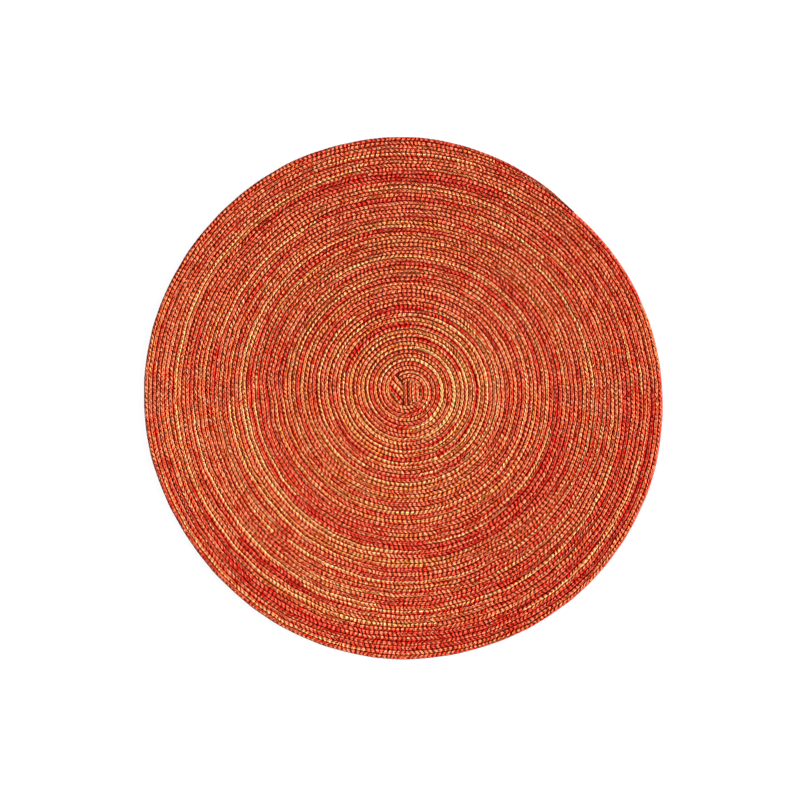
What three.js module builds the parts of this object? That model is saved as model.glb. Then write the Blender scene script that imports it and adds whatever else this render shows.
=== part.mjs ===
// A round table mat: one knitted tape, wound flat into a spiral and sewn edge to edge.
//
// Millimetres, +Z up. The origin is the middle of the underside, which lies on the table.
// The tape's start is folded into a small boss. From the boss's edge the tape runs outwards,
// clockwise seen from above, and narrows into the rim at its end. Each turn stands up as a
// low rib between two sewn seams.

import * as THREE from "three";

// Driving dimensions
const PITCH = 8.9; // one turn of the tape, from seam to seam
const THICKNESS = 3.4; // from the table to the top of a rib
const SEAM_DEPTH = 1.2; // how far a seam lies below the ribs
const SHOULDER = 1.8; // a rib's rounded side, from the seam to its flat top
const START_RADIUS = 5.8; // from the middle of the turns to the near corner of the tape's start
const TURNS = 20.2; // from the tape's start to its end
const END_BEARING = 48; // degrees from +X to the end of the tape
const END_TAPER = 48; // degrees of the last turn over which its width runs out
const RIM_UNDERCUT = 0.9; // how far the rim's foot lies inside its widest line
const FACETS = 60; // in one turn

// The middle of the turns wanders as the tape is wound by hand. Places are from the rim's middle.
const WINDING_DRIFT = [
  { radius: 20, x: 0.5, y: 7.5 },
  { radius: 75, x: 0.6, y: 7.4 },
  { radius: 150, x: 0.5, y: 3.3 },
  { radius: 190, x: 0, y: 0 },
];

// The turns aren't quite round either. Heights are those at the rim.
const WINDING_WAVES = [
  { lobes: 2, height: 1.4, bearing: -33 },
  { lobes: 3, height: 0.3, bearing: 18 },
  { lobes: 4, height: 0.2, bearing: 0 },
  { lobes: 5, height: 0.35, bearing: 32 },
];

const RIM_RADIUS = START_RADIUS + PITCH * (TURNS + 1);
const SEAM_HEIGHT = THICKNESS - SEAM_DEPTH;
const STATIONS = Math.round(TURNS * FACETS);

// Where the middle of the turns lies at a radius, eased from one row of the table to the next.
function windingMiddle(radius) {
  const next = WINDING_DRIFT.findIndex((row) => row.radius >= radius);
  if (next === 0) return WINDING_DRIFT[0];
  if (next < 0) return WINDING_DRIFT.at(-1);
  const [from, to] = [WINDING_DRIFT[next - 1], WINDING_DRIFT[next]];
  const share = THREE.MathUtils.smoothstep(radius, from.radius, to.radius);
  return {
    x: THREE.MathUtils.lerp(from.x, to.x, share),
    y: THREE.MathUtils.lerp(from.y, to.y, share),
  };
}

// How far the winding stands out from a true spiral.
function windingWave(radius, bearing) {
  const atRim = WINDING_WAVES.map(
    (wave) => wave.height * Math.cos(wave.lobes * (bearing - THREE.MathUtils.degToRad(wave.bearing))),
  );
  return (radius / RIM_RADIUS) * atRim.reduce((sum, height) => sum + height, 0);
}

// The tape runs clockwise, so its bearing falls with each station.
function bearingAt(station) {
  return THREE.MathUtils.degToRad(END_BEARING) - (2 * Math.PI * (station - STATIONS)) / FACETS;
}

function pointAt(station, radius, height) {
  const bearing = bearingAt(station);
  const middle = windingMiddle(radius);
  const reach = radius + windingWave(radius, bearing);
  return [middle.x + reach * Math.cos(bearing), middle.y + reach * Math.sin(bearing), height];
}

function innerRadius(station) {
  return START_RADIUS + (PITCH * station) / FACETS;
}

// The tape is as wide as its pitch until the last turn, where it narrows to nothing.
function outerRadius(station) {
  const taper = (END_TAPER / 360) * FACETS;
  const pastFull = Math.max(station - (STATIONS - taper), 0) / taper;
  return innerRadius(station) + PITCH * (1 - pastFull * pastFull);
}

// One closed shell of numbered points and triangles.
class Shell {
  positions = [];
  triangles = [];

  point(place) {
    this.positions.push(...place);
    return this.positions.length / 3 - 1;
  }

  triangle(a, b, c) {
    this.triangles.push(a, b, c);
  }

  quad(a, b, c, d) {
    this.triangle(a, b, c);
    this.triangle(a, c, d);
  }

  geometry() {
    const geometry = new THREE.BufferGeometry();
    geometry.setAttribute("position", new THREE.Float32BufferAttribute(this.positions, 3));
    geometry.setIndex(this.triangles);
    return geometry;
  }
}

// The spiral seam, one point a station, and after the last station the rim, which closes on it.
function addSeam(shell) {
  const seam = [];
  for (let station = 0; station < STATIONS + FACETS; station += 1) {
    const onRim = station > STATIONS;
    const radius = onRim ? outerRadius(station - FACETS) : innerRadius(station);
    seam.push(shell.point(pointAt(station, radius, SEAM_HEIGHT)));
  }
  seam.push(seam[STATIONS]);
  return seam;
}

// The two long edges of the rib's flat top, from the second station to the last but one.
function addRibTop(shell) {
  const near = [];
  const far = [];
  for (let station = 1; station < STATIONS; station += 1) {
    const inner = innerRadius(station);
    const outer = outerRadius(station);
    const shoulder = Math.min(SHOULDER, (outer - inner) / 3);
    near[station] = shell.point(pointAt(station, inner + shoulder, THICKNESS));
    far[station] = shell.point(pointAt(station, outer - shoulder, THICKNESS));
  }
  return { near, far };
}

// The rib between its two seams. Its start is blunt, and it comes to a point at its end.
function addRib(shell, seam) {
  const { near, far } = addRibTop(shell);
  const last = STATIONS - 1;
  shell.triangle(seam[0], seam[1], near[1]);
  shell.quad(seam[0], near[1], far[1], seam[FACETS]);
  shell.triangle(seam[FACETS], far[1], seam[FACETS + 1]);
  for (let station = 1; station < last; station += 1) {
    const next = station + 1;
    shell.quad(seam[station], seam[next], near[next], near[station]);
    shell.quad(near[station], near[next], far[next], far[station]);
    shell.quad(far[station], far[next], seam[next + FACETS], seam[station + FACETS]);
  }
  shell.triangle(seam[last], seam[STATIONS], near[last]);
  shell.triangle(near[last], seam[STATIONS], far[last]);
  shell.triangle(far[last], seam[STATIONS], seam[last + FACETS]);
}

// The outline of the boss's flat top. Its last point is the corner beside the tape's blunt start.
function bossOutline() {
  const outline = [];
  for (let station = 0; station < FACETS - 1; station += 1) {
    outline.push(pointAt(station, innerRadius(station) - SHOULDER, THICKNESS));
  }
  const besideStart = (-Math.asin(SHOULDER / START_RADIUS) * FACETS) / (2 * Math.PI);
  outline.push(pointAt(besideStart, START_RADIUS, THICKNESS));
  return outline;
}

// The folded start: a flat-topped boss with the first turn wrapped round it.
function addBoss(shell, seam) {
  const outline = bossOutline();
  const top = outline.map((place) => shell.point(place));
  const corner = top.at(-1);
  const last = FACETS - 2;
  for (let station = 0; station < last; station += 1) {
    const next = station + 1;
    shell.quad(top[station], top[next], seam[next], seam[station]);
  }
  shell.triangle(corner, top[0], seam[0]);
  shell.triangle(top[last], seam[last + 1], seam[last]);
  shell.triangle(top[last], seam[FACETS], seam[last + 1]);
  shell.quad(seam[0], seam[FACETS], top[last], corner);

  const contour = outline.map(([x, y]) => new THREE.Vector2(x, y)).reverse();
  top.reverse();
  for (const [a, b, c] of THREE.ShapeUtils.triangulateShape(contour, [])) {
    shell.triangle(top[a], top[b], top[c]);
  }
}

// The rim's lower half and the flat underside.
function addUnderside(shell, seam) {
  const middle = shell.point(pointAt(0, 0, 0));
  const foot = [];
  for (let step = 0; step < FACETS; step += 1) {
    const station = STATIONS - FACETS + step;
    foot.push(shell.point(pointAt(station, outerRadius(station) - RIM_UNDERCUT, 0)));
  }
  for (let step = 0; step < FACETS; step += 1) {
    const next = (step + 1) % FACETS;
    shell.quad(seam[STATIONS + step], seam[STATIONS + step + 1], foot[next], foot[step]);
    shell.triangle(foot[step], foot[next], middle);
  }
}

// The origin is set on the middle of the finished outline.
function centred(geometry) {
  geometry.computeBoundingBox();
  const middle = geometry.boundingBox.getCenter(new THREE.Vector3());
  return geometry.translate(-middle.x, -middle.y, 0);
}

function knittedYarn() {
  return new THREE.MeshStandardMaterial({ color: 0xc5552f, roughness: 0.9, metalness: 0 });
}

function buildMat() {
  const shell = new Shell();
  const seam = addSeam(shell);
  addRib(shell, seam);
  addBoss(shell, seam);
  addUnderside(shell, seam);

  const mat = new THREE.Mesh(centred(shell.geometry()), knittedYarn());
  mat.name = "mat";
  return mat;
}

const placemat = new THREE.Group();
placemat.add(buildMat());

export default placemat;
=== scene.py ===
"""Looks of a round table mat: one knitted tape wound flat into a spiral and sewn edge to edge.

Metres, +Z up. The mat lies on the table with its middle at the origin, as the frame has it.
The tape is knitted in three wales of whole stitches, which are six columns of stitch legs. Each
column keeps one dye for a short or a long stretch of the tape before the next dye begins.
"""

import math
from collections import namedtuple

import bmesh
import bpy
import numpy as np
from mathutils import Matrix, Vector


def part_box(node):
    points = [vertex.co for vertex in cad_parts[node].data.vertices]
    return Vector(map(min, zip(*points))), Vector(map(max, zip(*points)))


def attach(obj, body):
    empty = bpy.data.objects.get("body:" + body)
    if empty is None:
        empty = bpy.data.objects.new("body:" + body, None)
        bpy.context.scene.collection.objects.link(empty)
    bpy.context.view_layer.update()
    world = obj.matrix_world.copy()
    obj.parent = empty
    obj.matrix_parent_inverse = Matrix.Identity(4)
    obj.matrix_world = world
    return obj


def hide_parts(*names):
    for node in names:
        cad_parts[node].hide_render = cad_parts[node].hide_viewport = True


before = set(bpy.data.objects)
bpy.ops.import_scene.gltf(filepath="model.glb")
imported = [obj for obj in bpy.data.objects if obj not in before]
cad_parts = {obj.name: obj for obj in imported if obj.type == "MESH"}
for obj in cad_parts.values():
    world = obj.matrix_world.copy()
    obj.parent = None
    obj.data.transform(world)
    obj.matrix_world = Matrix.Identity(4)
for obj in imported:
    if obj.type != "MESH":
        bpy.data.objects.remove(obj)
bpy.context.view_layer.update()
MM = 0.001

# The winding, as the frame has it
PITCH = 8.9 * MM  # one turn of the tape, from seam to seam
START_RADIUS = 5.8 * MM  # from the middle of the turns to the near corner of the tape's start
TURNS = 20.2  # from the tape's start to its end
END_BEARING = 48  # degrees from +X to the end of the tape
END_TAPER = 48  # degrees of the last turn over which its width runs out
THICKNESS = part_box("mat")[1].z
RIM_RADIUS = START_RADIUS + PITCH * (TURNS + 1)
STEPS_IN_A_TURN = 360  # for measuring the winding

# Where the middle of the turns lies at each radius
Drift = namedtuple("Drift", "radius x y")
WINDING_DRIFT = [
    Drift(20 * MM, 0.5 * MM, 7.5 * MM),
    Drift(75 * MM, 0.6 * MM, 7.4 * MM),
    Drift(150 * MM, 0.5 * MM, 3.3 * MM),
    Drift(190 * MM, 0.0, 0.0),
]

# How the turns stand out from a true circle. Heights are those at the rim.
Wave = namedtuple("Wave", "lobes height bearing")
WINDING_WAVES = [
    Wave(2, 1.4 * MM, -33),
    Wave(3, 0.3 * MM, 18),
    Wave(4, 0.2 * MM, 0),
    Wave(5, 0.35 * MM, 32),
]

# The seams waver between one stitch and the next handful. Cycles are those in a turn, heights
# are those at the rim, and starts are in degrees.
Waver = namedtuple("Waver", "cycles height start")
SEAM_WAVERS = [
    Waver(5.3, 0.32 * MM, 40),
    Waver(9.7, 0.28 * MM, 200),
    Waver(14.2, 0.22 * MM, 310),
    Waver(23.6, 0.18 * MM, 95),
    Waver(37.1, 0.16 * MM, 250),
    Waver(61.7, 0.14 * MM, 20),
]
RIM_DRAWN = 0.65  # how much of the wavers the sewing has drawn out of the rim

# Places where the sewing has pulled the turns towards the middle, or let them out. All is in mm:
# the place, how far it is pulled, and its reach along the turns and across them.
Pucker = namedtuple("Pucker", "x y depth along across")
PUCKERS = [
    Pucker(64, -121, 1.8, 11, 9),
    Pucker(-97, -4, 1.4, 10, 9),
    Pucker(-95, 16, -1.2, 10, 9),
]

# Knit
STITCH = 3.3 * MM  # one stitch, along the tape
ROWS = 4  # rows of points in a stitch
WALES = 3  # columns of whole stitches across the tape
LEGS = 2 * WALES  # each stitch has two legs
LEG_POINTS = 3  # steps across one leg
TOP_STEPS = LEGS * LEG_POINTS
UNDER_PLACES = (0.44, 0.333, 0.167, 0.0, -0.167, -0.333, -0.44)  # across the underside
WALE_VALLEY = 0.60 * MM  # between two wales
LEG_VALLEY = 0.15 * MM  # between the two legs of a wale
VALLEY_SHARPNESS = 1.5  # 1 is a plain V, more is a narrower valley between rounder legs
STITCH_VALLEY = 0.60 * MM  # between one stitch and the next
DEEPEST_VALLEY = 0.6  # of half the tape's thickness there, so that its edges keep some body
STITCH_RISE = (0.0, 0.72, 1.0, 0.62)  # of each row of points along a stitch
CHEVRON = 0.30  # how far a leg's outer end trails its inner one, in stitches
WALE_STEPS = (0.0, 0.55, 0.2)  # how far each wale trails the first one, in stitches
EDGE_SCALLOP = 0.035  # how much the width swells at each stitch
SQUARENESS = 4.0  # 2 is an oval section, more is a flatter tape
LEAD = 0.32  # how far stitches lead or trail, in stitches
LEAD_RUN = 3  # stitches
LEAN = 0.16 * MM  # how far a leg leans to either side
LEAN_RUN = 2  # stitches
SEAM_HOLD = 3  # more lets the legs lean nearer to the sewn edges
SLACKEST = 0.35  # of a full stitch's rise
TIGHTEST = 1.15
OVERLAP = 0.10 * MM  # how far neighbouring turns press into each other
UNDER_RELIEF = 0.15  # the underside is pressed flat on the table, so its relief is less
UNDER_SETTLE = 0.02 * MM  # how far the underside is pressed down besides
ROUNDED_END = 0.75  # stitches over which a cut end is rounded
END_BLUNTNESS = 0.12  # 0 brings a cut end down to a sharp edge
TAPE_LENGTHS = 5  # pieces that the tape's mesh is made in
DOUBLES = 0.001 * MM  # points nearer to each other than this are merged
JUST_INSIDE = 1e-6  # legs, so that a place on the far edge still lies in the last leg

SEED = 41


def rad(degrees):
    return math.radians(degrees)


# ---------------------------------------------------------------- winding


def winding_middle(radius):
    """Where the middle of the turns lies at each radius, eased from row to row of the table."""
    rows = np.arange(len(WINDING_DRIFT))
    place = np.interp(radius, [row.radius for row in WINDING_DRIFT], rows)
    share = place - np.floor(place)
    eased = np.floor(place) + share * share * (3 - 2 * share)
    x = np.interp(eased, rows, [row.x for row in WINDING_DRIFT])
    y = np.interp(eased, rows, [row.y for row in WINDING_DRIFT])
    return x, y


def seam_radius(turn):
    """The seam's radius after so many turns, with its small wavers."""
    radius = START_RADIUS + PITCH * turn
    waver = sum(
        row.height * np.sin(math.tau * row.cycles * turn + rad(row.start)) for row in SEAM_WAVERS
    )
    drawn_straight = 1 - RIM_DRAWN * np.clip(turn - (TURNS - 1), 0, 1)
    return radius + waver * (radius / RIM_RADIUS) * np.clip(turn, 0, 1) * drawn_straight


def on_the_turns(turn, radius):
    """Places at that many turns from the start, at that radius from the middle of the turns."""
    bearing = rad(END_BEARING) - math.tau * (turn - TURNS)
    wave = sum(row.height * np.cos(row.lobes * (bearing - rad(row.bearing))) for row in WINDING_WAVES)
    reach = radius * (1 + wave / RIM_RADIUS)
    middle_x, middle_y = winding_middle(radius)
    return np.stack([middle_x + reach * np.cos(bearing), middle_y + reach * np.sin(bearing)], axis=-1)


def width_left(turn):
    """The share of the tape's width at each turn, which runs out over the last turn's taper."""
    taper = END_TAPER / 360
    past_full = np.clip((turn - (TURNS - taper)) / taper, 0, 1)
    return 1 - past_full**2


def edges_of_tape(turn):
    """The radius of the tape's inner and outer seam."""
    inner = seam_radius(turn)
    return inner, inner + (seam_radius(turn + 1) - inner) * width_left(turn)


def rim_middle():
    """The middle of the finished outline, which the frame puts at the origin."""
    turn = np.linspace(TURNS - 1, TURNS, 2 * STEPS_IN_A_TURN + 1)
    rim = on_the_turns(turn, START_RADIUS + PITCH * (turn + width_left(turn)))
    return (rim.min(axis=0) + rim.max(axis=0)) / 2


RIM_MIDDLE = rim_middle()


def puckered(places):
    """Draws places on the table towards the mat's middle where the sewing has puckered it."""
    shift = np.zeros(places.shape[:-1])
    for row in PUCKERS:
        outwards = np.array([row.x, row.y]) / math.hypot(row.x, row.y)
        offset = places / MM - (row.x, row.y)
        across = offset @ outwards
        along = offset @ np.array([-outwards[1], outwards[0]])
        shift += row.depth * MM * np.exp(-((along / row.along) ** 2) - (across / row.across) ** 2)
    reach = np.linalg.norm(places, axis=-1, keepdims=True)
    return places * (1 - shift[..., None] / np.maximum(reach, PITCH))


def tape_place(turn, across):
    """Places on the table under the tape. Across runs from -0.5, the inner seam, to 0.5."""
    inner, outer = edges_of_tape(turn)
    radius = inner + (across + 0.5) * (outer - inner)
    return puckered(on_the_turns(turn, radius) - RIM_MIDDLE)


def tape_lengths_by_turn():
    """How much tape there is from its start to each of many turns."""
    turn = np.linspace(0, TURNS, int(TURNS * STEPS_IN_A_TURN) + 1)
    places = tape_place(turn, 0.0)
    steps = np.linalg.norm(np.diff(places, axis=0), axis=1)
    return turn, np.concatenate([[0], np.cumsum(steps)])


TURN_TABLE, LENGTH_TABLE = tape_lengths_by_turn()
STITCHES = int(LENGTH_TABLE[-1] / STITCH)


def turn_at(stitches):
    """How many turns it is from the start to so many stitches along the tape."""
    return np.interp(stitches * STITCH, LENGTH_TABLE, TURN_TABLE)


def stitch_at(turn):
    """How many stitches there are from the start to so many turns."""
    return np.interp(turn, TURN_TABLE, LENGTH_TABLE) / STITCH


# ---------------------------------------------------------------- dyes

# Yarn colours as the eye sees them, 0 to 255, and how often each comes up
Dye = namedtuple("Dye", "name colour share")
DYES = [
    Dye("crimson", (204, 4, 2), 13),
    Dye("red", (216, 38, 14), 21),
    Dye("brick", (214, 66, 18), 26),
    Dye("coral", (228, 80, 36), 20),
    Dye("rust", (216, 84, 8), 9),
    Dye("gold", (228, 128, 34), 3),
    Dye("straw", (244, 172, 94), 3),
    Dye("olive", (192, 90, 4), 5),
]
DYE_NAMES = [dye.name for dye in DYES]
SHORTEST_DYE = 20 * MM
LONGEST_DYE = 260 * MM
INNER_TURNS = 6
INNER_ORDER = ("gold", "rust", "coral", "crimson", "straw", "crimson")
INNER_KEPT = 0.75  # how much of the first turns keeps that order
INNER_RUN = 12  # stitches
PAIRED_SHARE = 0.6  # how much of a wale has both its legs in one dye
PAIRED_RUN = 40  # stitches
PLAIN_DYES = 5  # the first so many dyes, which may fill a whole wale

# Lengths of one dye that stand out. Each begins at a radius in mm and a bearing in degrees from
# STREAK_MIDDLE, and keeps on clockwise for its sweep, in degrees.
STREAK_MIDDLE = np.array([0.5 * MM, 1.5 * MM])
Streak = namedtuple("Streak", "radius bearing sweep dye")
STREAKS = [
    # the rim's turn
    Streak(183.0, 0, 60, "crimson"),
    Streak(186.3, -60, 60, "crimson"),
    Streak(183.8, -120, 95, "crimson"),
    Streak(179.7, 0, 60, "crimson"),
    Streak(181.0, -60, 105, "crimson"),
    Streak(188.8, -100, 65, "straw"),
    Streak(186.2, -180, 24, "gold"),
    Streak(183.8, -204, 56, "coral"),
    Streak(189.2, -30, 30, "rust"),
    Streak(177.0, -17, 46, "straw"),
    Streak(173.5, 0, 63, "crimson"),
    Streak(174.2, -70, 35, "crimson"),
    Streak(169.5, -133, 27, "crimson"),
    # the outer quarter
    Streak(166.7, -83, 97, "straw"),
    Streak(167.2, -180, 81, "straw"),
    Streak(165.5, -71, 54, "olive"),
    Streak(165.0, -215, 30, "olive"),
    Streak(164.5, 0, 35, "crimson"),
    Streak(159.5, -20, 45, "straw"),
    Streak(158.2, -65, 55, "straw"),
    Streak(154.8, -54, 43, "crimson"),
    Streak(153.5, -98, 82, "straw"),
    Streak(152.7, 0, 15, "gold"),
    Streak(146.2, 0, 67, "straw"),
    Streak(145.2, 0, 105, "crimson"),
    Streak(141.5, -74, 33, "gold"),
    Streak(137.6, 0, 60, "straw"),
    Streak(135.3, -65, 68, "straw"),
    Streak(135.8, 0, 90, "crimson"),
    Streak(177.5, -249, 41, "straw"),
    Streak(173.0, -288, 72, "crimson"),
    Streak(165.8, -284, 76, "crimson"),
    Streak(152.7, -302, 58, "crimson"),
    Streak(152.2, -261, 44, "straw"),
    Streak(164.1, -332, 28, "gold"),
    Streak(150.5, -316, 16, "gold"),
    Streak(145.4, -185, 24, "gold"),
    Streak(140.5, -201, 45, "straw"),
    Streak(137.2, -209, 23, "gold"),
    Streak(144.6, -295, 65, "coral"),
    # the middle turns
    Streak(133.0, -135, 45, "straw"),
    Streak(126.4, -105, 75, "straw"),
    Streak(123.5, -75, 105, "gold"),
    Streak(116.2, -100, 80, "straw"),
    Streak(113.3, -85, 95, "straw"),
    Streak(110.8, -90, 90, "crimson"),
    Streak(109.5, -90, 90, "red"),
    Streak(107.8, -14, 34, "straw"),
    Streak(106.0, -15, 65, "crimson"),
    Streak(106.0, -95, 85, "coral"),
    Streak(103.0, -105, 75, "red"),
    Streak(96.4, 0, 60, "gold"),
    Streak(94.2, -45, 135, "gold"),
    Streak(92.0, 0, 50, "crimson"),
    Streak(136.0, -180, 52, "straw"),
    Streak(130.8, -205, 40, "coral"),
    Streak(133.2, -240, 50, "coral"),
    Streak(127.8, -187, 13, "gold"),
    Streak(129.3, -228, 15, "gold"),
    Streak(127.8, -250, 33, "gold"),
    Streak(119.0, -180, 100, "straw"),
    Streak(125.0, -260, 60, "gold"),
    Streak(115.5, -180, 28, "gold"),
    Streak(112.5, -213, 37, "gold"),
    Streak(106.0, -180, 30, "crimson"),
    Streak(94.3, -240, 110, "crimson"),
    Streak(88.5, -180, 50, "red"),
    Streak(131.2, -270, 60, "crimson"),
    Streak(135.9, -315, 45, "straw"),
    Streak(83.3, -205, 55, "straw"),
    Streak(76.8, -55, 90, "gold"),
    Streak(83.2, -145, 35, "crimson"),
    # the inner turns
    Streak(63.9, -285, 135, "straw"),
    Streak(62.4, -285, 135, "crimson"),
    Streak(60.6, -285, 135, "straw"),
    Streak(55.1, -285, 135, "straw"),
    Streak(53.7, -285, 135, "crimson"),
    Streak(49.6, -285, 135, "straw"),
    Streak(46.0, -285, 135, "straw"),
    Streak(45.0, -285, 135, "crimson"),
    Streak(45.6, -115, 65, "gold"),
    Streak(48.2, 0, 95, "gold"),
    Streak(37.2, -285, 135, "straw"),
    Streak(36.5, -100, 80, "straw"),
    Streak(40.2, -180, 45, "gold"),
    Streak(30.0, -180, 60, "gold"),
    Streak(26.3, -225, 55, "gold"),
    Streak(28.5, -285, 135, "straw"),
    Streak(14.3, -197.5, 51, "straw"),
]


def dyed_column(rng):
    """One leg column's dye at every stitch, in lengths as they come off the cone."""
    shares = np.array([dye.share for dye in DYES], float)
    column = np.zeros(STITCHES, int)
    at = 0
    while at < STITCHES:
        length = int(rng.uniform(SHORTEST_DYE, LONGEST_DYE) / STITCH)
        column[at : at + length] = rng.choice(len(DYES), p=shares / shares.sum())
        at += length
    return column


def alike(rng):
    """Where a wale's two legs are of one dye, by stitch and column."""
    runs = rng.random((STITCHES // PAIRED_RUN + 1, LEGS)) < PAIRED_SHARE
    return np.repeat(runs, PAIRED_RUN, axis=0)[:STITCHES]


def inner_columns(chart, rng):
    """The first turns keep one order of dyes, from the seam inside them outwards."""
    last = int(stitch_at(INNER_TURNS))
    order = np.array([DYE_NAMES.index(name) for name in INNER_ORDER])
    runs = rng.random((last // INNER_RUN + 1, LEGS)) < INNER_KEPT
    kept = np.repeat(runs, INNER_RUN, axis=0)[:last]
    chart[:last] = np.where(kept, order, chart[:last])


def leg_places():
    """The middle of every leg in the tape, by stitch and column."""
    turn = turn_at(np.arange(STITCHES) + 0.5)
    across = (np.arange(LEGS) + 0.5) / LEGS - 0.5
    return tape_place(turn[:, None], across[None, :])


def add_streak(chart, places, streak):
    """Dyes one column of legs from the leg that lies nearest to the streak's beginning."""
    bearing = rad(streak.bearing)
    reach = streak.radius * MM * np.array([math.cos(bearing), math.sin(bearing)])
    nearest = np.argmin(np.linalg.norm(places - STREAK_MIDDLE - reach, axis=2))
    first, column = divmod(int(nearest), LEGS)
    last = first + int(rad(streak.sweep) * streak.radius * MM / STITCH)
    chart[first:last, column] = DYE_NAMES.index(streak.dye)


def dye_chart():
    """The dye of every leg: a row for each stitch and a column for each leg across the tape."""
    rng = np.random.default_rng(SEED)
    chart = np.stack([dyed_column(rng) for _ in range(LEGS)], axis=1)
    paired = alike(rng)[:, 1::2] & (chart[:, ::2] < PLAIN_DYES)
    chart[:, 1::2] = np.where(paired, chart[:, ::2], chart[:, 1::2])
    inner_columns(chart, rng)
    places = leg_places()
    for streak in STREAKS:
        add_streak(chart, places, streak)
    return chart


# ---------------------------------------------------------------- knitted tape


def section_places():
    """Points round the tape's section: across places, and 1 on the top or -1 on the underside."""
    top = np.linspace(-0.5, 0.5, TOP_STEPS + 1)
    across = np.concatenate([top, UNDER_PLACES, [-0.5]])
    side = np.concatenate([np.ones(len(top)), -np.ones(len(UNDER_PLACES) + 1)])
    return across, side


ACROSS, SIDE = section_places()
AROUND = len(ACROSS) - 1


def leg_hollow(across):
    """Depth of the valleys between legs and between wales."""
    legs = (across + 0.5) * LEGS
    nearest = np.round(legs)
    depth = np.where(nearest % 2 == 0, WALE_VALLEY, LEG_VALLEY)
    closeness = 1 - 2 * np.abs(legs - nearest)
    return depth * closeness**VALLEY_SHARPNESS


def chevron_lag(across):
    """How far the legs trail the middle of their wale, in stitches."""
    wales = (across + 0.5) * WALES
    step = np.interp(wales, np.arange(WALES) + 0.5, WALE_STEPS)
    return step + CHEVRON * np.abs(wales - np.floor(wales) - 0.5) * 2


def leg_of(across):
    """The column of legs that a place lies in."""
    return np.clip(((across + 0.5) * LEGS - JUST_INSIDE).astype(int), 0, LEGS - 1)


def eased_numbers(rng, rows, run, spread, count):
    """Random numbers for every row that drift from one to the next over a run of stitches."""
    knots_to_spare = 3
    knots = rng.normal(0, spread, (len(rows) // (run * ROWS) + knots_to_spare, count))
    place = (rows - rows[0]) / (run * ROWS)
    low = place.astype(int)
    share = (place - low)[:, None]
    eased = share * share * (3 - 2 * share)
    return knots[low] * (1 - eased) + knots[low + 1] * eased


def between_legs(values):
    """Spreads numbers for the edges of the legs over the points round the section."""
    edge = (ACROSS + 0.5) * LEGS
    low = np.clip(edge.astype(int), 0, LEGS - 1)
    share = edge - low
    return values[:, low] * (1 - share) + values[:, low + 1] * share


# Each is by row and by point round the section: lead in stitches, lean in metres, and vigour as
# a share of a full stitch's rise
Hand = namedtuple("Hand", "lead lean vigour")


def knitters_hand(rng, rows):
    """What is uneven in the knitting: stitches lead or trail, lean, and are tight or slack."""
    lead = between_legs(eased_numbers(rng, rows, LEAD_RUN, LEAD, LEGS + 1))
    lean = between_legs(eased_numbers(rng, rows, LEAN_RUN, LEAN, LEGS + 1))
    stitch = (rows - rows[0]) // ROWS
    vigour = rng.uniform(SLACKEST, TIGHTEST, (stitch[-1] + 1, LEGS))[stitch][:, leg_of(ACROSS)]
    return Hand(lead, lean * (1 - np.abs(2 * ACROSS) ** SEAM_HOLD), vigour)


def knit_surface(path, rows, hand, thickness=THICKNESS, width=PITCH):
    """Positions and hollows of a closed knitted tape's points.

    The path gives places on the table for numbers of stitches along and shares of the width
    across. Rows are counted from the tape's start, ROWS to a stitch.
    """
    rise = np.array(STITCH_RISE)[rows % ROWS]
    swell = 1 + EDGE_SCALLOP * (rise[:, None] - 0.5) + 2 * OVERLAP / width
    across = ACROSS[None, :] * swell + hand.lean / width
    place = path(rows[:, None] / ROWS - chevron_lag(ACROSS)[None, :] + hand.lead, across)

    half = thickness / 2
    crown = half * (1 - np.abs(2 * ACROSS) ** SQUARENESS) ** (1 / SQUARENESS)
    hollow = leg_hollow(ACROSS)[None, :] + STITCH_VALLEY * (1 - rise[:, None] * hand.vigour)
    hollow = np.minimum(hollow, crown[None, :] * DEEPEST_VALLEY)
    relief = crown[None, :] - hollow * np.where(SIDE > 0, 1, UNDER_RELIEF)
    settle = np.where(SIDE > 0, 0, UNDER_SETTLE) * crown / half
    height = half - settle[None, :] + SIDE[None, :] * relief
    points = np.concatenate([place, height[:, :, None]], axis=2)
    return points, hollow / (WALE_VALLEY + STITCH_VALLEY)


def wound(along, across):
    """The path of the wound tape."""
    return tape_place(turn_at(along), across)


def grid_mesh(name, rows, columns):
    """A flat grid with its points numbered row by row."""
    bm = bmesh.new()
    bmesh.ops.create_grid(bm, x_segments=columns, y_segments=rows, size=1)
    mesh = bpy.data.meshes.new(name)
    bm.to_mesh(mesh)
    bm.free()
    return mesh


def grid_places(mesh, rows, columns):
    """Each point's row and column in a flat grid."""
    flat = np.empty(len(mesh.vertices) * 3, np.float32)
    mesh.vertices.foreach_get("co", flat)
    x, y = flat.reshape(-1, 3)[:, :2].T
    return np.rint((y + 1) / 2 * rows).astype(int), np.rint((x + 1) / 2 * columns).astype(int)


def set_points(mesh, points):
    """Moves every point of the mesh to its new place."""
    mesh.vertices.foreach_set("co", points.astype(np.float32).ravel())


def rolled_tube(mesh):
    """Closes the grid's long sides on each other, caps its ends and turns its faces out."""
    bm = bmesh.new()
    bm.from_mesh(mesh)
    bmesh.ops.remove_doubles(bm, verts=bm.verts, dist=DOUBLES)
    open_edges = [edge for edge in bm.edges if edge.is_boundary]
    caps = bmesh.ops.holes_fill(bm, edges=open_edges, sides=0)["faces"]
    bmesh.ops.recalc_face_normals(bm, faces=bm.faces)
    for face in bm.faces:
        face.smooth = True
    for face in caps:
        face.smooth = False
    bm.to_mesh(mesh)
    bm.free()


def set_numbers(mesh, name, domain, values):
    """Keeps a number with each of the mesh's points or faces, for its material to read."""
    attribute = mesh.attributes.new(name, "FLOAT", domain)
    attribute.data.foreach_set("value", np.ascontiguousarray(values, dtype=np.float32).ravel())


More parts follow.
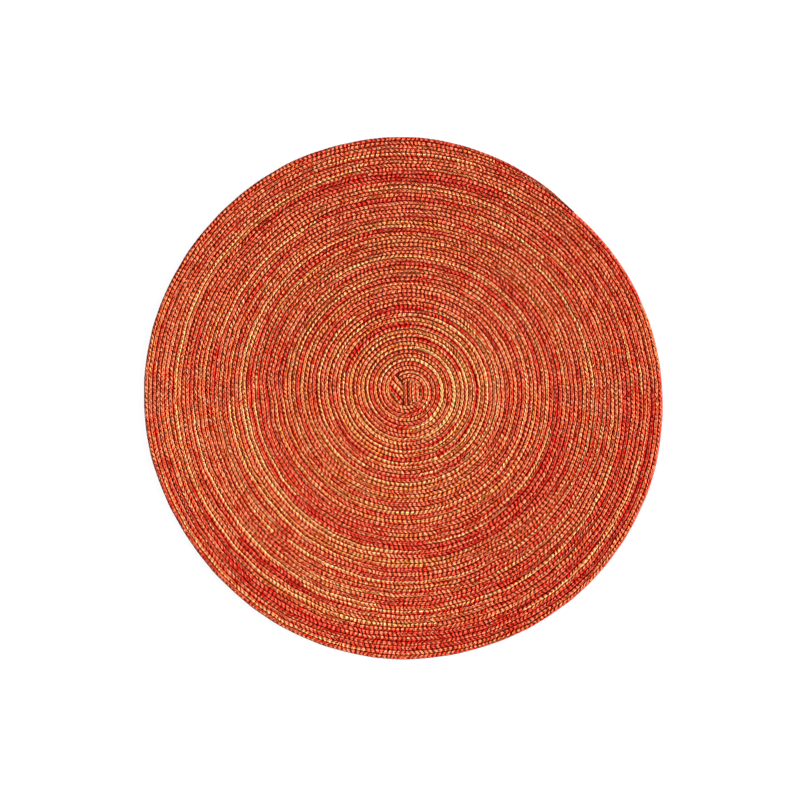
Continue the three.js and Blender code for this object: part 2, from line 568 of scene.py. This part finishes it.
def shown(name, mesh, material):
    """A new object in the scene, at the origin."""
    mesh.materials.append(material)
    piece = bpy.data.objects.new(name, mesh)
    bpy.context.scene.collection.objects.link(piece)
    return piece


def add_dyes(mesh, row, column, dyes):
    """Gives each face the dye of the leg that it lies in."""
    middle = (ACROSS[:-1] + ACROSS[1:]) / 2
    face_row = row.reshape(-1, 4).min(axis=1)
    face_column = column.reshape(-1, 4).min(axis=1)
    dye = dyes[face_row // ROWS, leg_of(middle)[face_column]]
    set_numbers(mesh, "dye", "FACE", (dye + 0.5) / len(DYES))


def add_knit_map(mesh, row, column, first):
    """Maps each face's corners by stitches along the tape and legs across it."""
    legs = (ACROSS + 0.5) * LEGS
    places = np.stack([row / ROWS + first, legs[column]], axis=1)
    knit = mesh.uv_layers.new(name="knit")
    knit.data.foreach_set("uv", places.astype(np.float32).ravel())


def knitted_piece(name, points, hollow, dyes, first, material):
    """A closed knitted tape from its rows of points, with its dyes by stitch and column.

    First is the number of stitches from the tape's start to the piece's.
    """
    rows = len(points) - 1
    mesh = grid_mesh(name, rows, AROUND)
    row, column = grid_places(mesh, rows, AROUND)
    set_points(mesh, points[row, column])
    set_numbers(mesh, "hollow", "POINT", hollow[row, column])
    corner = np.empty(len(mesh.loops), np.int32)
    mesh.loops.foreach_get("vertex_index", corner)
    add_dyes(mesh, row[corner], column[corner], dyes)
    add_knit_map(mesh, row[corner], column[corner], first)
    rolled_tube(mesh)
    return shown(name, mesh, material)


def rounded_ends(points, thickness, both=True):
    """Lowers a tape's first stitch, and its last one, so that its ends are round."""
    rows = np.arange(len(points))
    from_end = (np.minimum(rows, rows[::-1]) if both else rows) / ROWS
    full = np.sqrt(1 - (1 - np.clip(from_end / ROUNDED_END, END_BLUNTNESS, 1)) ** 2)
    points[:, :, 2] = thickness / 2 + (points[:, :, 2] - thickness / 2) * full[:, None]
    return points


def tape_piece(name, first, last, hand, chart, material):
    """One length of the wound tape, from one stitch to another."""
    rows = np.arange(first * ROWS, last * ROWS + 1)
    points, hollow = knit_surface(wound, rows, Hand(*(uneven[rows] for uneven in hand)))
    if first == 0:
        points = rounded_ends(points, THICKNESS, both=False)
    return knitted_piece(name, points, hollow, chart[first:last], first, material)


# ---------------------------------------------------------------- folded start

# The tape's start is folded on itself inside the first turn. Each bit that shows is laid along a
# line, and its dyes are those of its columns from its left edge to its right one. Its line, width
# and thickness are in mm.
Bit = namedtuple("Bit", "name line width thickness dyes")
START_BITS = [
    Bit("start_strip", [(7.6, 13.4), (7.2, 3.5), (8.6, -8.4)], 8.6, 3.4,
        ["rust", "coral", "crimson", "straw", "brick", "coral"]),
    Bit("start_edge", [(4.0, 12.4), (4.2, 3.5), (4.9, -8.4)], 8.9, 2.9,
        ["red", "coral", "brick", "coral", "brick", "coral"]),
    Bit("start_fold", [(-10.5, 13.0), (-4.6, 6.4), (3.2, -3.4)], 12.0, 2.6,
        ["straw", "brick", "gold", "red", "crimson", "straw"]),
    Bit("start_lip", [(-5.5, 19.5), (-1.5, 13.0), (2.0, 6.5)], 8.9, 2.4,
        ["coral", "crimson", "coral", "brick", "coral", "straw"]),
    Bit("start_under", [(0.7, 18.5), (0.7, -8.5)], 26.0, 1.7,
        ["crimson", "crimson", "red", "crimson", "crimson", "red"]),
]
FEWEST_STITCHES = 2  # in a bit
EASING_STEPS = (-1, -0.5, 0, 0.5, 1)  # stitches over which a bit's line is eased
LOOK_AHEAD = 0.1 * MM  # to find which way a line runs


def bit_path(bit):
    """The path of a short tape laid along the bit's line, which is eased round its corners."""
    corners = np.array(bit.line) * MM
    along_corners = np.concatenate([[0], np.cumsum(np.linalg.norm(np.diff(corners, axis=0), axis=1))])

    def centre(distance):
        x = np.interp(distance, along_corners, corners[:, 0])
        y = np.interp(distance, along_corners, corners[:, 1])
        return np.stack([x, y], axis=-1)

    def eased(distance):
        nearby = [centre(distance + step * STITCH) for step in EASING_STEPS]
        return sum(nearby) / len(nearby)

    def path(along, across):
        distance = np.broadcast_to(along * STITCH, across.shape)
        ahead = eased(distance + LOOK_AHEAD) - eased(distance - LOOK_AHEAD)
        ahead /= np.linalg.norm(ahead, axis=-1, keepdims=True)
        left = np.stack([-ahead[..., 1], ahead[..., 0]], axis=-1)
        return eased(distance) - left * (across * bit.width * MM)[..., None]

    return path, along_corners[-1]


def start_bit(bit, material):
    """One bit of the folded start, knitted as the tape is."""
    path, length = bit_path(bit)
    stitches = max(int(length / STITCH), FEWEST_STITCHES)
    rows = np.arange(stitches * ROWS + 1)
    hand = knitters_hand(np.random.default_rng(SEED), rows)
    points, hollow = knit_surface(path, rows, hand, bit.thickness * MM, bit.width * MM)
    points = rounded_ends(points, bit.thickness * MM)
    dyes = np.tile([DYE_NAMES.index(name) for name in bit.dyes], (stitches, 1))
    return knitted_piece(bit.name, points, hollow, dyes, 0, material)


# ---------------------------------------------------------------- seam thread

THREAD_RADIUS = 0.6 * MM
THREAD_HEIGHT = 1.85 * MM  # of its middle above the table
THREAD_WAVE = 0.12 * MM  # to either side, and half of it up and down, once a stitch
THREAD_SIDES = 5
THREAD_ROWS = 2  # to a stitch


def thread_piece(name, first, last, material):
    """The sewing thread in the seam inside one length of the wound tape."""
    steps = np.arange(first * THREAD_ROWS, last * THREAD_ROWS + 1)
    turn = turn_at(steps / THREAD_ROWS)[:, None]
    swing = np.where(steps % 2 == 0, 1, -1)[:, None]
    angle = np.linspace(0, math.tau, THREAD_SIDES + 1)[None, :]
    radius = seam_radius(turn) + THREAD_RADIUS * np.cos(angle) + swing * THREAD_WAVE
    place = puckered(on_the_turns(np.broadcast_to(turn, radius.shape), radius) - RIM_MIDDLE)
    height = THREAD_HEIGHT + THREAD_RADIUS * np.sin(angle) + swing * THREAD_WAVE / 2
    points = np.concatenate([place, height[:, :, None]], axis=2)

    rows = len(steps) - 1
    mesh = grid_mesh(name, rows, THREAD_SIDES)
    row, side = grid_places(mesh, rows, THREAD_SIDES)
    set_points(mesh, points[row, side])
    rolled_tube(mesh)
    return shown(name, mesh, material)


# ---------------------------------------------------------------- materials


def linear(colour):
    """A colour as the eye sees it, 0 to 255, turned into the shader's linear light."""
    shares = [value / 255 for value in colour]
    return tuple(s / 12.92 if s <= 0.04045 else ((s + 0.055) / 1.055) ** 2.4 for s in shares) + (1,)


def plain_material(name, colour, roughness):
    """A material with one colour, for a start."""
    material = bpy.data.materials.new(name)
    material.use_nodes = True
    principled = material.node_tree.nodes["Principled BSDF"]
    principled.inputs["Base Color"].default_value = linear(colour)
    principled.inputs["Roughness"].default_value = roughness
    return material


def maths(tree, operation, first, second=None, third=None):
    """A Math node on numbers or other nodes' outputs. Returns its output."""
    made = tree.nodes.new("ShaderNodeMath")
    made.operation = operation
    for socket, value in zip(made.inputs, (first, second, third)):
        if isinstance(value, bpy.types.NodeSocket):
            tree.links.new(value, socket)
        elif value is not None:
            socket.default_value = value
    return made.outputs[0]


# How a mask follows a value: it is base where the value is 0, and rises with it by rise
Slope = namedtuple("Slope", "rise base")


def follows(tree, value, slope):
    """A mask that follows the value."""
    return maths(tree, "MULTIPLY_ADD", value, slope.rise, slope.base)


def follows_above_zero(tree, value, slope):
    """The same mask, with nothing below 0."""
    return maths(tree, "MAXIMUM", follows(tree, value, slope), 0.0)


def mixed(tree, share, first, second):
    """A colour Mix node on colours or other nodes' outputs. Returns its output."""
    made = tree.nodes.new("ShaderNodeMix")
    made.data_type = "RGBA"
    sockets = (made.inputs["Factor"], made.inputs["A"], made.inputs["B"])
    for socket, value in zip(sockets, (share, first, second)):
        if isinstance(value, bpy.types.NodeSocket):
            tree.links.new(value, socket)
        else:
            socket.default_value = value
    return made.outputs["Result"]


def bumped(tree, height, distance):
    """Raises the surface's shading by a height, and distance is what a height of 1 stands for."""
    bump = tree.nodes.new("ShaderNodeBump")
    bump.inputs["Distance"].default_value = distance
    tree.links.new(height, bump.inputs["Height"])
    tree.links.new(bump.outputs["Normal"], tree.nodes["Principled BSDF"].inputs["Normal"])


# How the yarn stands up. A power under 1 makes a broad rib with a narrow valley beside it, and one
# over 1 a narrow rib.
STITCH_POWER = 2.0  # along a stitch, from one gap to the next
LEG_POWER = 0.6  # across a leg
WALE_POWER = 0.7  # across a wale
LEG_RIBS = 0.35  # of the ribs' height, and the wales make the rest
GAP_DEPTH = 0.6  # of a rib's height that is lost between two stitches
GAP_HOLLOW = 0.25  # of the hollow's depth that the gaps make
PLY_TWISTS = 3.0  # in a stitch
PLY_SLANT = 0.6  # twists from one leg to the next
LUMPS_IN_A_LEG = (1.7, 0.5, 0)  # along and across
LUMP_DETAIL = 1.5
FIBRES_IN_A_LEG = (3.1, 1.6, 0)
FIBRE_DETAIL = 2.0


def group_socket(group, name, way, kind, value=None):
    """A named input or output of the group, with the value that it has where none is given."""
    socket = group.interface.new_socket(name, in_out=way, socket_type=kind)
    if value is not None:
        socket.default_value = value


def arched(group, value, span, power):
    """Rises from 0 to 1 and falls back to 0, once in each span of the value."""
    turned = maths(group, "MULTIPLY", value, math.pi / span)
    return maths(group, "POWER", maths(group, "ABSOLUTE", maths(group, "SINE", turned)), power)


def noise_on(group, knit_map, fineness, detail):
    """Noise that follows the knit, at a fineness along and across a leg."""
    stretched = group.nodes.new("ShaderNodeVectorMath")
    stretched.operation = "MULTIPLY"
    stretched.inputs[1].default_value = fineness
    group.links.new(knit_map, stretched.inputs[0])
    noise = group.nodes.new("ShaderNodeTexNoise")
    noise.inputs["Scale"].default_value = 1.0
    noise.inputs["Detail"].default_value = detail
    group.links.new(stretched.outputs[0], noise.inputs["Vector"])
    return noise.outputs["Fac"]


def random_lot(group, knit_map):
    """A random number for each leg of each stitch."""
    leg = group.nodes.new("ShaderNodeVectorMath")
    leg.operation = "FLOOR"
    group.links.new(knit_map, leg.inputs[0])
    lot = group.nodes.new("ShaderNodeTexWhiteNoise")
    lot.noise_dimensions = "2D"
    group.links.new(leg.outputs[0], lot.inputs["Vector"])
    return lot.outputs["Value"]


def knit_group():
    """Knit from a map of stitches along the tape and legs across it.

    Height is for the bump, and Hollow is 1 in the deepest valleys. Lot is a random number for
    each leg of each stitch, and Fleck is the noise of single fibres.
    """
    group = bpy.data.node_groups.new("knit", "ShaderNodeTree")
    group_socket(group, "Knit Map", "INPUT", "NodeSocketVector")
    group_socket(group, "Ply Depth", "INPUT", "NodeSocketFloat", 0.15)
    group_socket(group, "Lumps", "INPUT", "NodeSocketFloat", 0.9)
    group_socket(group, "Fibres", "INPUT", "NodeSocketFloat", 0.25)
    for name in ("Height", "Hollow", "Lot", "Fleck"):
        group_socket(group, name, "OUTPUT", "NodeSocketFloat")
    given = group.nodes.new("NodeGroupInput").outputs
    knit_map = given["Knit Map"]
    split = group.nodes.new("ShaderNodeSeparateXYZ")
    group.links.new(knit_map, split.inputs[0])
    along, across = split.outputs["X"], split.outputs["Y"]

    stitch = arched(group, along, 1, STITCH_POWER)
    leg = arched(group, across, 1, LEG_POWER)
    wale = maths(group, "MULTIPLY", arched(group, across, 2, WALE_POWER), 1 - LEG_RIBS)
    ribs = maths(group, "MULTIPLY_ADD", leg, LEG_RIBS, wale)
    pulled = maths(group, "MULTIPLY", follows(group, stitch, Slope(GAP_DEPTH, 1 - GAP_DEPTH)), ribs)

    slant = maths(group, "MULTIPLY", across, PLY_SLANT)
    twist = maths(group, "MULTIPLY_ADD", along, PLY_TWISTS, slant)
    ply = maths(group, "SINE", maths(group, "MULTIPLY", twist, math.tau))
    ply_depth = maths(group, "MULTIPLY", given["Ply Depth"], pulled)
    plied = maths(group, "MULTIPLY_ADD", ply, ply_depth, pulled)
    lumps = noise_on(group, knit_map, LUMPS_IN_A_LEG, LUMP_DETAIL)
    lumpy = maths(group, "MULTIPLY_ADD", lumps, given["Lumps"], plied)
    fleck = noise_on(group, knit_map, FIBRES_IN_A_LEG, FIBRE_DETAIL)
    fibrous = maths(group, "MULTIPLY_ADD", fleck, given["Fibres"], lumpy)

    full = maths(group, "MULTIPLY", ribs, follows(group, stitch, Slope(GAP_HOLLOW, 1 - GAP_HOLLOW)))
    hollow = maths(group, "SUBTRACT", 1.0, full)

    result = group.nodes.new("NodeGroupOutput").inputs
    group.links.new(fibrous, result["Height"])
    group.links.new(hollow, result["Hollow"])
    group.links.new(random_lot(group, knit_map), result["Lot"])
    group.links.new(fleck, result["Fleck"])
    return group


def attribute_value(tree, name):
    """The number that set_numbers keeps under that name."""
    attribute = tree.nodes.new("ShaderNodeAttribute")
    attribute.attribute_name = name
    return attribute.outputs["Fac"]


def dye_ramp(tree, dye):
    """The colour of each dye."""
    ramp = tree.nodes.new("ShaderNodeValToRGB")
    ramp.color_ramp.interpolation = "CONSTANT"
    stops = ramp.color_ramp.elements
    while len(stops) < len(DYES):
        stops.new(0.5)
    for index, row in enumerate(DYES):
        stops[index].position = index / len(DYES)
        stops[index].color = linear(row.colour)
    tree.links.new(dye, ramp.inputs["Fac"])
    return ramp.outputs["Color"]


SHADE_AND_DARK_FIBRE_COLOUR = (162, 6, 0)  # painted shade in the valleys, and the colour of single dark fibres
LIT_YARN = (255, 210, 154)  # painted highlight on the tips
LIGHTNESS_BY_LOT = Slope(0.3, 0.87)
DARK_BY_FLECK = Slope(-4.0, 1.75)
# painted highlight where the fibre noise is high
HIGHLIGHT_BY_FLECK = Slope(4.0, -2.3)
# painted shade in the gaps, by how deep each point lies
GAP_SHADE_BY_HOLLOW = Slope(0.5, -0.08)
# the ridges, where the painted highlight falls
RIDGE_BY_HOLLOW = Slope(-1.8, 1.0)
TAKEN_BY_DYE = Slope(1.6, 0.4)  # the reds, which come first, take less of the painted highlight
VALLEY_SHADE_STRENGTH = 0.95  # how strong the painted shade is in the knit's deepest valleys
# painted highlight on the ridges: more on legs picked at random, and a little on all
HIGHLIGHT_BY_LOT = 0.55
HIGHLIGHT_EVERYWHERE = 0.02
YARN_RELIEF = 2.1 * MM
YARN_SHINE = 0.05  # specular level, low on yarn and thread alike


def dyed_yarn(tree, knit, dye):
    """The dye's colour, a little lighter or darker from one leg to the next."""
    varied = tree.nodes.new("ShaderNodeHueSaturation")
    tree.links.new(follows(tree, knit["Lot"], LIGHTNESS_BY_LOT), varied.inputs["Value"])
    tree.links.new(dye_ramp(tree, dye), varied.inputs["Color"])
    return varied.outputs["Color"]


def valley_shade_and_dark_fibres(tree, knit):
    """Where painted shade darkens the yarn between legs and stitches, and where single fibres are
    dark.
    """
    # painted shade in the gaps and valleys; the dark fibres are the yarn's own tone
    gap = follows(tree, attribute_value(tree, "hollow"), GAP_SHADE_BY_HOLLOW)
    dark = maths(tree, "ADD", gap, follows_above_zero(tree, knit["Fleck"], DARK_BY_FLECK))
    return maths(tree, "MULTIPLY_ADD", knit["Hollow"], VALLEY_SHADE_STRENGTH, dark)


def painted_highlight_mask(tree, knit, dye):
    """Where a painted highlight lightens the yarn: on the ridges of some legs, and more where the
    fibre noise is high.
    """
    # painted highlight, only on the ridges and less on the reds
    ridge = follows_above_zero(tree, knit["Hollow"], RIDGE_BY_HOLLOW)
    taken = maths(tree, "MINIMUM", follows(tree, dye, TAKEN_BY_DYE), 1.0)
    fleck_highlight = follows_above_zero(tree, knit["Fleck"], HIGHLIGHT_BY_FLECK)
    base = maths(tree, "ADD", fleck_highlight, HIGHLIGHT_EVERYWHERE)
    highlight_share = maths(tree, "MULTIPLY_ADD", knit["Lot"], HIGHLIGHT_BY_LOT, base)
    return maths(tree, "MULTIPLY", maths(tree, "MULTIPLY", ridge, taken), highlight_share)


def yarn_material():
    """Matt knitted yarn in its dyes, with painted shade in the valleys and a painted highlight on the
    tips.
    """
    material = plain_material("knitted_tape", LIT_YARN, 0.85)
    tree = material.node_tree
    principled = tree.nodes["Principled BSDF"]
    principled.inputs["Specular IOR Level"].default_value = YARN_SHINE
    knit_map = tree.nodes.new("ShaderNodeUVMap")
    knit_map.uv_map = "knit"
    knitted = tree.nodes.new("ShaderNodeGroup")
    knitted.node_tree = knit_group()
    tree.links.new(knit_map.outputs["UV"], knitted.inputs["Knit Map"])
    knit = knitted.outputs

    dye = attribute_value(tree, "dye")
    # painted shade in the valleys, then a painted highlight on the ridges
    with_valley_shade = mixed(tree, valley_shade_and_dark_fibres(tree, knit), dyed_yarn(tree, knit, dye), linear(SHADE_AND_DARK_FIBRE_COLOUR))
    with_painted_highlights = mixed(tree, painted_highlight_mask(tree, knit, dye), with_valley_shade, linear(LIT_YARN))
    tree.links.new(with_painted_highlights, principled.inputs["Base Color"])
    bumped(tree, knit["Height"], YARN_RELIEF)
    return material


DEEP_THREAD = (84, 1, 1)
LIT_THREAD = (168, 12, 8)
THREAD_GRAIN = 700  # patches in a metre
THREAD_RELIEF = 0.4 * MM


def thread_material():
    """Dark red sewing thread, a little uneven."""
    material = plain_material("seam_thread", LIT_THREAD, 0.8)
    tree = material.node_tree
    principled = tree.nodes["Principled BSDF"]
    principled.inputs["Specular IOR Level"].default_value = YARN_SHINE
    place = tree.nodes.new("ShaderNodeTexCoord")
    uneven = tree.nodes.new("ShaderNodeTexNoise")
    uneven.inputs["Scale"].default_value = THREAD_GRAIN
    tree.links.new(place.outputs["Object"], uneven.inputs["Vector"])
    share = uneven.outputs["Fac"]
    colour = mixed(tree, share, linear(DEEP_THREAD), linear(LIT_THREAD))
    tree.links.new(colour, principled.inputs["Base Color"])
    bumped(tree, share, THREAD_RELIEF)
    return material


# ---------------------------------------------------------------- stage

FLOOR_REACH = 3  # metres, from the middle to each side
FLOOR_GLOW = 0.96  # keeps the floor near white under a low light
KEY_PLACE = Vector((1.0, 0.1, 0.44))  # the key light shines from here towards the mat
KEY_STRENGTH = 10.8
KEY_SOFTNESS = 22  # degrees across, as seen from the mat
FILL_LIGHT = 0.16  # of a white backdrop's full light
CAMERA_HEIGHT = 2.0
FIELD = 584.6 * MM  # what the picture takes in across, at the mat
AIM = Vector((-2.4 * MM, -1.5 * MM, 0))


def floor_material():
    material = plain_material("pale_floor", (60, 60, 60), 0.9)
    principled = material.node_tree.nodes["Principled BSDF"]
    principled.inputs["Emission Color"].default_value = (1, 1, 1, 1)
    principled.inputs["Emission Strength"].default_value = FLOOR_GLOW
    return material


def stage_floor():
    bm = bmesh.new()
    bmesh.ops.create_grid(bm, x_segments=1, y_segments=1, size=FLOOR_REACH)
    mesh = bpy.data.meshes.new("floor")
    bm.to_mesh(mesh)
    bm.free()
    shown("floor", mesh, floor_material())


def key_light():
    data = bpy.data.lights.new("key", "SUN")
    data.angle = rad(KEY_SOFTNESS)
    data.energy = KEY_STRENGTH
    key = bpy.data.objects.new("key", data)
    key.location = KEY_PLACE
    key.rotation_euler = (-KEY_PLACE).to_track_quat("-Z", "Y").to_euler()
    bpy.context.scene.collection.objects.link(key)


def white_backdrop():
    """White where the camera sees it, while the mat gets only a share of its light."""
    world = bpy.data.worlds.new("studio")
    world.use_nodes = True
    tree = world.node_tree
    background = tree.nodes["Background"]
    background.inputs["Color"].default_value = (1, 1, 1, 1)
    seen = tree.nodes.new("ShaderNodeLightPath").outputs["Is Camera Ray"]
    strength = maths(tree, "MULTIPLY_ADD", seen, 1 - FILL_LIGHT, FILL_LIGHT)
    tree.links.new(strength, background.inputs["Strength"])
    bpy.context.scene.world = world


def camera_above():
    """Looks straight down on the mat, and shows its colours as they are."""
    data = bpy.data.cameras.new("camera")
    data.lens = data.sensor_width * CAMERA_HEIGHT / FIELD
    camera = bpy.data.objects.new("camera", data)
    camera.location = AIM + Vector((0, 0, CAMERA_HEIGHT + THICKNESS))
    bpy.context.scene.collection.objects.link(camera)
    bpy.context.scene.camera = camera
    bpy.context.scene.view_settings.view_transform = "Standard"


def stands_for_mat(piece):
    """Every piece is the mat's own and takes the place of its plain solid."""
    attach(piece, "root")
    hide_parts("mat")


def tape_and_seams(chart, yarn, bits):
    """The wound tape and its seam, length by length. The start's bits are sewn to the first."""
    thread = thread_material()
    hand = knitters_hand(np.random.default_rng(SEED), np.arange(STITCHES * ROWS + 1))
    ends = np.linspace(0, STITCHES, TAPE_LENGTHS + 1).astype(int).tolist()
    for index, (first, last) in enumerate(zip(ends, ends[1:])):
        tape = tape_piece(f"tape_{index + 1}", first, last, hand, chart, yarn)
        seam = thread_piece(f"seam_thread_{index + 1}", first, last, thread)
        sewn_on = [seam] if index else [seam, *bits]
        for piece in [tape, *sewn_on]:
            stands_for_mat(piece)


def main():
    stage_floor()
    key_light()
    white_backdrop()
    camera_above()
    yarn = yarn_material()
    bits = [start_bit(bit, yarn) for bit in START_BITS]
    tape_and_seams(dye_chart(), yarn, bits)


main()
